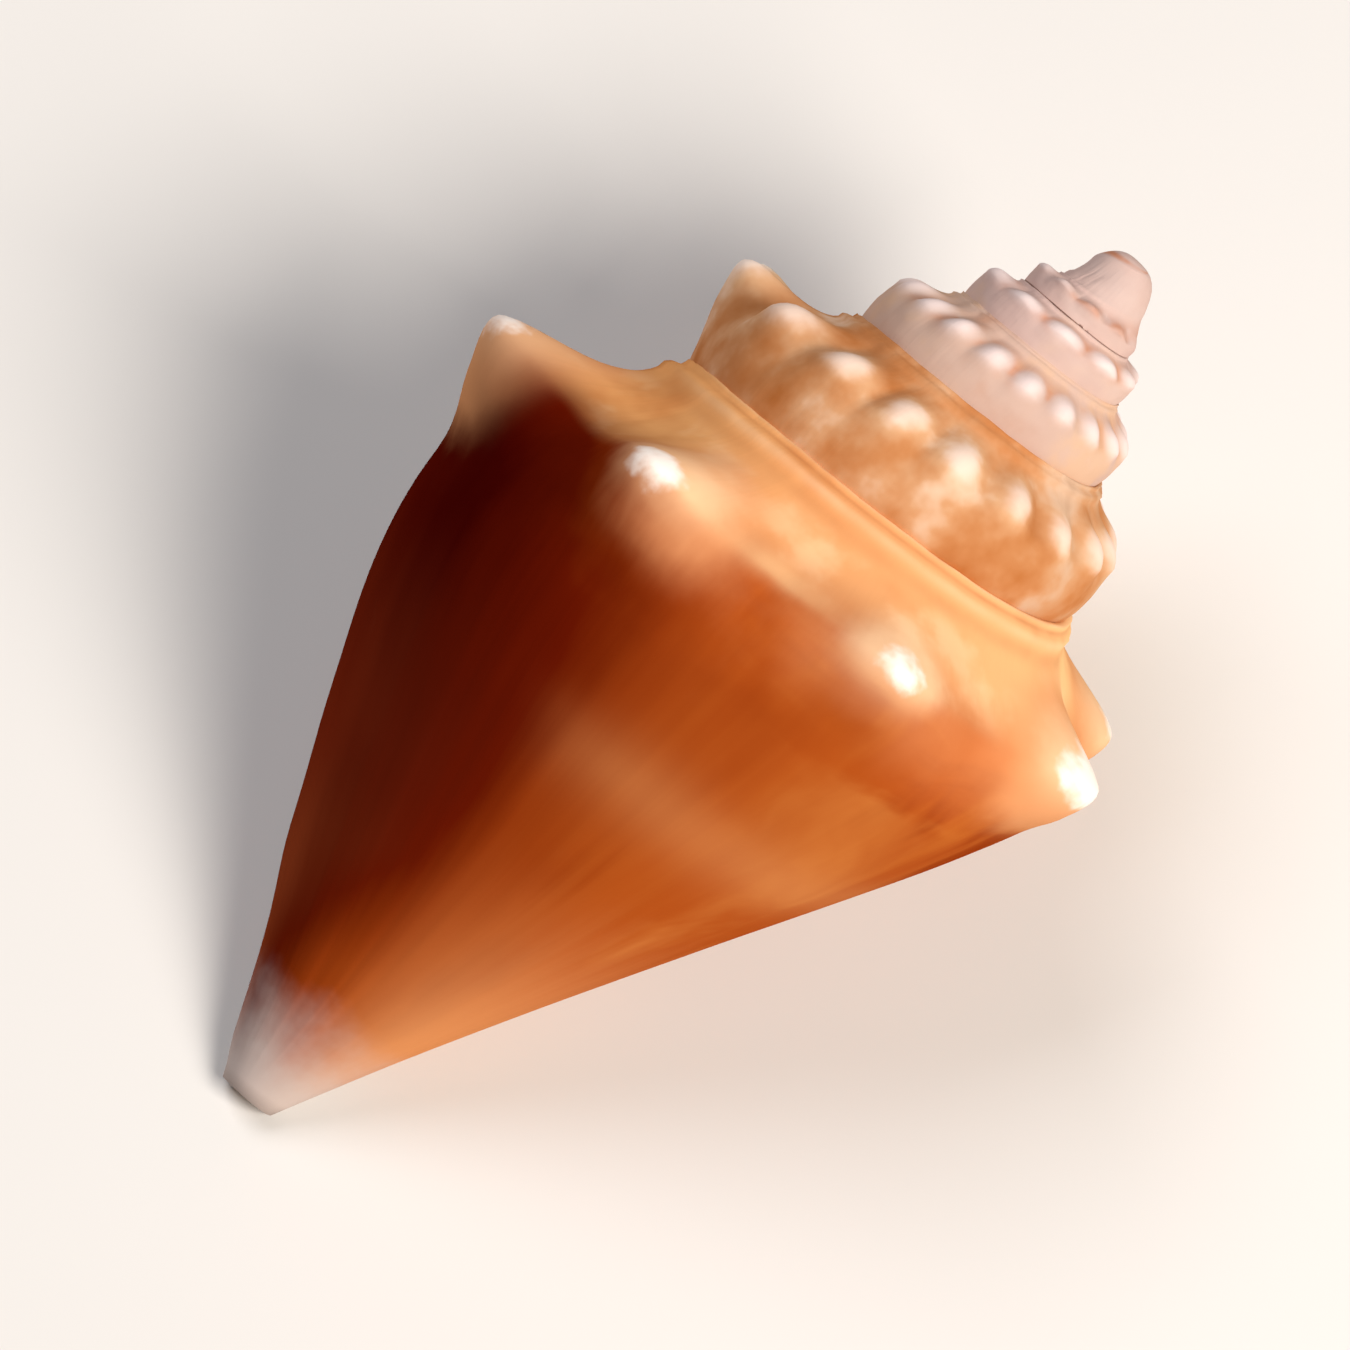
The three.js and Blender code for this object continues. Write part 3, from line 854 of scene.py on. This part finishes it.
# Noise over the coil
STREAKS = {"along": 0.07, "over": 0.5, "layer": 0.0, "detail": 4.0, "roughness": 0.55}
HAIRLINES = {"along": 0.8, "over": 0.6, "layer": 3.0, "detail": 3.0}
DRIFT = {"along": 0.03, "over": 1.3, "layer": 11.0, "detail": 3.0}
SWIRL = {"along": 0.02, "over": 1.5, "layer": 21.0, "warp": 1.4, "detail": 4.0}

# Spans of place across over which layers come in
ACROSS = {
    "flank": (2.0, 3.0),
    "narrow end": (3.2, 3.9),
    "canal side": (3.4, 3.9),
    "brown side": (3.0, 3.45),
    "brown near the canal": (3.45, 3.7),
    "pale near the canal": (3.42, 3.85),
    "low shoulder": (2.2, 3.0),
    "ramp": (1.6, 2.15),
    "cream flecks": (1.2, 1.5),
    # Where the painted highlight round the knobs' feet fades down the flank
    "foot": (2.0, 2.5),
    "worn end": (3.8, 3.99),
}
# Spans of back angle
BACK = {
    "pale near the canal": (95.0, 165.0),
    "low shoulder": (135.0, 190.0),
    "ramp": (0.0, 45.0),
    "beside the suture": (40.0, 90.0),
    "past the lip's knob": (46.0, 66.0),
    "mottled": (345.0, 385.0),
    # Where the painted highlight down the knobs' ridges ends
    "ridge ends": (350.0, 400.0),
    "spire": (360.0, 430.0),
    "oldest whorls": (500.0, 800.0),
    "oldest knobs": (520.0, 760.0),
    "between knobs": (560.0, 640.0),
    "yellowed": (520.0, 600.0),
    "yellowed ends": (1000.0, 1400.0),
    "knobs end": (1450.0, 1650.0),
}
# Spans of degrees from the edge of the dark part
AGE = {
    "past the dark": (-60.0, -5.0),
    "blush": (0.0, 60.0),
    "glow": (20.0, 70.0),
    "swirl": (20.0, 60.0),
    "pale band": (-20.0, 40.0),
    "lit side": (-6.0, 26.0),
}
# Spans of noise
NOISE = {
    "blush": (0.0, 0.15),
    "glow": (0.02, 0.25),
    "swirl": (0.02, 0.2),
    "tan blotches": (-0.02, 0.2),
    "cream flecks": (-0.05, 0.25),
    "between knobs": (-0.1, 0.1),
    "yellowed": (0.0, 0.16),
    "lining": (-0.2, 0.25),
}
# Spans of the way up a knob
# The ridge and foot spans place the painted highlight on the lit side of the knobs
UP_KNOB = {"past the low ground": (0.3, 0.6), "ridge_highlight": (0.01, 0.32), "foot": (0.2, 0.8)}
# Spans of the way from the outside to the inside
INWARD = {"lining": (0.25, 0.75), "smooth": (0.3, 0.7)}
# Marks, each a place and a width
MARKS = {
    "pale band": (3.24, 0.07),
    "upper cord": (0.62, 0.1),
    "lower cord": (1.08, 0.06),
    # The two marks below the cords place the painted shade in the grooves there
    "below the upper cord": (0.88, 0.07),
    "below the lower cord": (1.24, 0.09),
    "row of knobs": (1.75, 0.35),
    "plain spine": (144.0, 22.0),
    "whitest spine": (190.0, 20.0),
    "worn patch along": (119.0, 10.0),
    "worn patch across": (1.97, 0.17),
}
# The edge of the dark part: its back angle at the shoulder, how it shifts below, and how it wanders
DARK_EDGE = {"shoulder": 78.0, "flank": 32.0, "canal side": -42.0}
WANDER = {"clouds": 40.0, "streaks": 36.0, "drift": 34.0}
# How far up a knob its worn tip starts, how soft that edge is, and what the kinds of knob and noise add
TIP_EDGE = {"level": 0.92, "spire": -0.16, "oldest": -0.14, "whitest": -0.2, "patches": 0.6, "grain": 0.15}
TIP_SOFT = {"level": 0.1, "spire": 0.16, "oldest": 0.14}
TIP_COVER = {"level": 0.95, "spire": -0.15}

ROUGHNESS = {"level": 0.4, "clouds": 0.2, "grain": 0.16}
BUMP_STRENGTH = 0.2
BUMP_DISTANCE = 0.1 * METRE
BUMP_GRAIN = 0.4


def paint(code):
    """A colour as it looks on a screen, as linear light."""
    parts = [int(code[i:i + 2], 16) / 255.0 for i in (1, 3, 5)]
    linear = [p / 12.92 if p <= 0.04045 else ((p + 0.055) / 1.055) ** 2.4 for p in parts]
    return (*linear, 1.0)


def tint(tree, base, over, share):
    """The colour base, covered by the colour over where share is 1."""
    return mixed(tree, "RGBA", base, over, share)


def attribute(tree, name, output):
    node = tree.nodes.new("ShaderNodeAttribute")
    node.attribute_name = name
    return Field(node.outputs[output])


def gradient(tree, stops, place):
    """The colour at a place, from stops of (place, colour) in rising order."""
    low, high = stops[0][0], stops[-1][0]
    node = tree.nodes.new("ShaderNodeValToRGB")
    bands = node.color_ramp.elements
    bands[0].color = paint(stops[0][1])
    bands[1].color = paint(stops[-1][1])
    for where, code in stops[1:-1]:
        bands.new((where - low) / (high - low)).color = paint(code)
    plug((place - low) / (high - low), node.inputs["Fac"])
    return Field(node.outputs["Color"])


class Coat:
    """The shell's colour, built up in layers, with the fields that say where each layer lies."""

    def __init__(self, tree):
        self.tree = tree
        self.colour = None
        self.back, self.across, knob = separate(attribute(tree, "growth", "Vector"))
        self.knob = knob * (1.0 - ease(*BACK["knobs end"], self.back))
        self.inside = attribute(tree, "inside", "Fac")
        place = Field(tree.nodes.new("ShaderNodeTexCoord").outputs["Object"])
        self.clouds = noise(place, **CLOUDS)
        self.blotches = noise(place, **BLOTCHES)
        self.patches = noise(place, **PATCHES)
        self.grain = noise(place, **GRAIN)
        steady = 1.0 - 0.8 * ease(*ACROSS["narrow end"], self.across)
        self.streaks = steady * coil_noise(self.back, self.across, **STREAKS)
        self.hairlines = steady * coil_noise(self.back, self.across, **HAIRLINES)
        self.drift = coil_noise(self.back, self.across, **DRIFT)
        flank = DARK_EDGE["flank"] * ease(*ACROSS["flank"], self.across)
        canal = DARK_EDGE["canal side"] * ease(*ACROSS["canal side"], self.across)
        dark_edge = DARK_EDGE["shoulder"] + flank + canal
        wander = WANDER["clouds"] * self.clouds + WANDER["streaks"] * self.streaks
        self.age = self.back - dark_edge + wander + WANDER["drift"] * self.drift

    def blend(self, over, share):
        self.colour = tint(self.tree, self.colour, over, share)

    def layer(self, name, share):
        code, cover = LAYERS[name]
        self.blend(paint(code), cover * share)


def paint_body(coat):
    """The last whorl: near-black mahogany towards the lip, burnt orange round the back."""
    back, across, age = coat.back, coat.across, coat.age
    clouds, streaks, drift = coat.clouds, coat.streaks, coat.drift
    coat.colour = gradient(coat.tree, BODY_COLOURS, age)
    brown_side = ease(*ACROSS["brown side"], across + 0.4 * drift)
    brown_side = brown_side * (1.0 - ease(*AGE["past the dark"], age))
    coat.layer("brown side", brown_side)
    coat.layer("brown near the canal", brown_side * ease(*ACROSS["brown near the canal"], across))
    blush = ease(*NOISE["blush"], 0.7 * clouds - 0.5 * streaks)
    coat.layer("blush", blush * ease(*AGE["blush"], age))
    glow = ease(*NOISE["glow"], 0.7 * streaks + 0.5 * drift)
    coat.layer("glow", glow * ease(*AGE["glow"], age))
    warp = SWIRL["warp"] * clouds
    swirl_place = combine(SWIRL["along"] * back + warp, SWIRL["over"] * across + warp, SWIRL["layer"])
    swirl = noise(swirl_place, detail=SWIRL["detail"])
    orange = ease(*AGE["swirl"], age)
    coat.layer("dark swirl", ease(*NOISE["swirl"], swirl) * orange)
    coat.layer("pale swirl", ease(*NOISE["swirl"], -swirl) * orange)
    pale_band = hump(across + 0.1 * clouds, *MARKS["pale band"])
    coat.layer("pale band", pale_band * ease(*AGE["pale band"], age))
    canal = ease(*ACROSS["pale near the canal"], across + 0.3 * streaks)
    coat.layer("pale near the canal", canal * ease(*BACK["pale near the canal"], back))
    shoulder = 1.0 - ease(*ACROSS["low shoulder"], across + 0.5 * streaks)
    coat.layer("low shoulder", shoulder * ease(*BACK["low shoulder"], back))


def paint_ramp(coat):
    """The ramp between the suture and the shoulder is peach, and tan towards the lip."""
    back, across = coat.back, coat.across
    clouds, blotches, patches = coat.clouds, coat.blotches, coat.patches
    ramp = (1.0 - ease(*ACROSS["ramp"], across + 0.5 * clouds)) * ease(*BACK["ramp"], back)
    coat.blend(gradient(coat.tree, RAMP_COLOURS, back + 30.0 * clouds), RAMP_COVER * ramp)
    coat.layer("tan blotches", ramp * ease(*NOISE["tan blotches"], blotches + 0.5 * clouds))
    cream = ease(*NOISE["cream flecks"], patches - 0.6 * blotches)
    coat.layer("cream flecks", ramp * cream * ease(*ACROSS["cream flecks"], across))
    # A painted highlight along the cords, and painted shade in the grooves below them
    cord_highlight = 0.5 * (hump(across, *MARKS["upper cord"]) + hump(across, *MARKS["lower cord"]))
    cord_shade = hump(across, *MARKS["below the upper cord"])
    cord_shade = cord_shade + 0.8 * hump(across, *MARKS["below the lower cord"])
    beside_suture = ease(*BACK["beside the suture"], back) * (0.7 + 1.5 * patches)
    coat.layer("cords", cord_highlight * beside_suture)
    coat.layer("painted shade below the cords", cord_shade * beside_suture)


def paint_spire(coat):
    """The spire is mottled orange and cream, paler and pinker to the apex."""
    back, blotches, patches = coat.back, coat.blotches, coat.patches
    mottling = 0.7 * blotches + 0.6 * patches + 0.4 * coat.clouds
    coat.blend(gradient(coat.tree, MOTTLE_COLOURS, mottling), ease(*BACK["mottled"], back))
    oldest = ease(*BACK["oldest whorls"], back + 420.0 * (patches + blotches))
    coat.blend(gradient(coat.tree, OLD_COLOURS, back), OLD_COVER * oldest)
    low_ground = 1.0 - ease(*UP_KNOB["past the low ground"], coat.knob)
    between = hump(coat.across, *MARKS["row of knobs"]) * low_ground * ease(*NOISE["between knobs"], patches)
    coat.layer("between knobs", between * ease(*BACK["between knobs"], back))
    yellowed = ease(*NOISE["yellowed"], 0.7 * blotches + 0.5 * patches)
    yellowed = yellowed * (1.0 - ease(*BACK["yellowed ends"], back))
    coat.layer("yellowed", yellowed * ease(*BACK["yellowed"], back))


def paint_knobs(coat):
    """On the side away from the lip, where the light falls, knobs fade to cream as a painted highlight, and
    their tips are worn white.
    """
    back, across, knob = coat.back, coat.across, coat.knob
    blotches, patches = coat.blotches, coat.patches
    past_lip_knob = ease(*BACK["past the lip's knob"], back)
    spire = ease(*BACK["spire"], back)
    oldest = ease(*BACK["oldest knobs"], back)
    lit_side = calculate("MAXIMUM", ease(*AGE["lit side"], coat.age), 1.0 - past_lip_knob)
    # A painted highlight down the knobs' ridges, on their lit side
    ridge_highlight = ease(*UP_KNOB["ridge_highlight"], knob + 0.15 * patches) * lit_side
    ridge_highlight = ridge_highlight * (1.0 - hump(back, *MARKS["plain spine"]))
    coat.layer("ridge_highlight", ridge_highlight * (1.0 - ease(*BACK["ridge ends"], back)))
    worn_patch = hump(back + 25.0 * blotches, *MARKS["worn patch along"])
    worn_patch = worn_patch * hump(across + 0.3 * blotches, *MARKS["worn patch across"])
    coat.layer("worn patch", worn_patch)
    # A peach painted highlight round the foot of each knob, strongest on its lit side
    foot = ease(*UP_KNOB["foot"], knob + 0.3 * patches) * lit_side
    foot = foot * (1.0 - 0.8 * ease(*ACROSS["foot"], across)) * (0.5 + 0.5 * past_lip_knob)
    coat.layer("foot", foot * (1.0 - 0.6 * spire) * (1.0 - oldest))
    tip_edge = TIP_EDGE["level"] + TIP_EDGE["spire"] * spire + TIP_EDGE["oldest"] * oldest
    tip_edge = tip_edge + TIP_EDGE["whitest"] * hump(back, *MARKS["whitest spine"])
    ragged = TIP_EDGE["patches"] * patches + TIP_EDGE["grain"] * coat.grain
    soft_edge = TIP_SOFT["level"] + TIP_SOFT["spire"] * spire + TIP_SOFT["oldest"] * oldest
    tip = ease(-1.0, 1.0, (knob - tip_edge + ragged) / soft_edge)
    spine_tip, spire_tip, oldest_tip = (paint(code) for code in TIP_COLOURS)
    worn_tip = tint(coat.tree, tint(coat.tree, spine_tip, spire_tip, spire), oldest_tip, oldest)
    coat.blend(worn_tip, (TIP_COVER["level"] + TIP_COVER["spire"] * spire) * tip)


def paint_ends(coat):
    """The canal's end is worn to grey white, and the inside is peach."""
    worn_end = ease(*ACROSS["worn end"], coat.across + 0.1 * (coat.patches + coat.clouds))
    coat.layer("worn end", worn_end)
    deep, pale = (paint(code) for code in LINING_COLOURS)
    lining = tint(coat.tree, deep, pale, ease(*NOISE["lining"], coat.clouds + coat.streaks))
    coat.blend(lining, ease(*INWARD["lining"], coat.inside))


def shell_finish():
    material = bpy.data.materials.new("conch_shell")
    material.use_nodes = True
    tree = material.node_tree
    shader = tree.nodes["Principled BSDF"]
    coat = Coat(tree)
    for layers in (paint_body, paint_ramp, paint_spire, paint_knobs, paint_ends):
        layers(coat)
    plug(coat.colour, shader.inputs["Base Color"])

    uneven = ROUGHNESS["clouds"] * coat.clouds + ROUGHNESS["grain"] * coat.grain
    plug(ROUGHNESS["level"] + uneven, shader.inputs["Roughness"])
    shader.inputs["Specular IOR Level"].default_value = 0.0

    bump = tree.nodes.new("ShaderNodeBump")
    bump.inputs["Strength"].default_value = BUMP_STRENGTH
    bump.inputs["Distance"].default_value = BUMP_DISTANCE
    outside = 1.0 - ease(*INWARD["smooth"], coat.inside)
    plug((coat.hairlines + BUMP_GRAIN * coat.grain) * outside, bump.inputs["Height"])
    tree.links.new(bump.outputs["Normal"], shader.inputs["Normal"])
    return material


# Stage

FLOOR_HALF = 2.0
FLOOR_COLOURS = ("#d9d6d2", "#e4e2de")
FLOOR_TONE = {"scale": 6.0, "detail": 4.0}
FLOOR_ROUGHNESS = 0.8

# The photograph's view: how far the apex leans to the viewer, and what the picture's middle is set on
VIEW_LEAN = 6.0
LENS = 300.0
SENSOR = 36.0
CLIP_START = 0.01
FRAME_WIDTH = 0.0949
LOOK_AT = Vector((0.0, 0.0, 0.018))
AIM_RIGHT = -0.0014
AIM_UP = 0.00014

# Lights, each by its direction in the view's right, up and towards the viewer
LIGHTS = {
    "key": {"direction": (0.65, -0.25, 1.0), "width": 0.5, "power": 19.0, "colour": "#fff8f0"},
    "fill": {"direction": (-0.35, 1.0, 0.8), "width": 0.7, "power": 8.0, "colour": "#fbfaff"},
}
LIGHT_DISTANCE = 1.2
WORLD_COLOUR = "#e6e8ec"
WORLD_STRENGTH = 0.06


def floor_finish():
    material = bpy.data.materials.new("pale_floor")
    material.use_nodes = True
    tree = material.node_tree
    shader = tree.nodes["Principled BSDF"]
    where = Field(tree.nodes.new("ShaderNodeTexCoord").outputs["Object"])
    darker, paler = (paint(code) for code in FLOOR_COLOURS)
    plug(tint(tree, darker, paler, noise(where, **FLOOR_TONE) + 0.5), shader.inputs["Base Color"])
    shader.inputs["Roughness"].default_value = FLOOR_ROUGHNESS
    return material


def make_floor():
    half = FLOOR_HALF
    corners = [(-half, -half, 0), (half, -half, 0), (half, half, 0), (-half, half, 0)]
    mesh = bpy.data.meshes.new("floor")
    mesh.from_pydata(corners, [], [(0, 1, 2, 3)])
    mesh.materials.append(floor_finish())
    floor = bpy.data.objects.new("floor", mesh)
    bpy.context.scene.collection.objects.link(floor)
    return floor


def lying():
    """The turn from the growing shell's axes to the frame's."""
    roll = Matrix.Rotation(math.radians(ROLL), 3, "Z")
    tip = Matrix.Rotation(math.radians(TIP - 90.0), 3, "X")
    return Matrix.Rotation(math.radians(-90.0), 3, "Z") @ tip @ roll


def view_axes():
    """The photograph's right, up and towards-the-viewer, in the frame: it looks at the shell's back, with
    the apex leant a little to the viewer and pointing up and to the right."""
    lean = math.radians(VIEW_LEAN)
    apex = lying() @ Vector((0.0, math.sin(lean), math.cos(lean)))
    aside = lying() @ Vector((1.0, 0.0, 0.0))
    towards = lying() @ Vector((0.0, -math.cos(lean), math.sin(lean)))
    return (apex + aside).normalized(), (apex - aside).normalized(), towards


def make_camera():
    right, up, towards = view_axes()
    camera = bpy.data.objects.new("camera", bpy.data.cameras.new("camera"))
    camera.data.lens = LENS
    camera.data.sensor_width = SENSOR
    camera.data.clip_start = CLIP_START
    distance = FRAME_WIDTH * LENS / SENSOR
    turn = Matrix((right, up, towards)).transposed().to_4x4()
    aim = LOOK_AT + AIM_RIGHT * right + AIM_UP * up
    camera.matrix_world = Matrix.Translation(aim + distance * towards) @ turn
    bpy.context.scene.collection.objects.link(camera)
    bpy.context.scene.camera = camera


def make_light(name, direction, width, power, colour):
    towards = sum((share * axis for share, axis in zip(direction, view_axes())), Vector())
    light = bpy.data.lights.new(name, "AREA")
    light.size = width
    light.energy = power
    light.color = paint(colour)[:3]
    lamp = bpy.data.objects.new(name, light)
    lamp.location = LOOK_AT + LIGHT_DISTANCE * towards.normalized()
    lamp.rotation_euler = towards.to_track_quat("Z", "Y").to_euler()
    bpy.context.scene.collection.objects.link(lamp)


def make_lights():
    for name, settings in LIGHTS.items():
        make_light(name, **settings)
    world = bpy.data.worlds.new("studio")
    world.use_nodes = True
    background = world.node_tree.nodes["Background"]
    background.inputs["Color"].default_value = paint(WORLD_COLOUR)
    background.inputs["Strength"].default_value = WORLD_STRENGTH
    bpy.context.scene.world = world
    bpy.context.scene.view_settings.view_transform = "Standard"


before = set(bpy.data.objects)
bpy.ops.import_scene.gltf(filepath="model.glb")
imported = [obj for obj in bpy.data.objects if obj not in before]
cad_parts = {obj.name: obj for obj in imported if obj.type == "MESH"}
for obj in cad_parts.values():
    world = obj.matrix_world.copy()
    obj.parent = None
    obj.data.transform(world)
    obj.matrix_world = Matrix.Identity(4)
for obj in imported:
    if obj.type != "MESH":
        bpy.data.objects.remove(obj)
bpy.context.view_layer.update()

shell = make_shell(shell_finish())
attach(shell, "root")
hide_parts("shell")

make_floor()
make_lights()
make_camera()
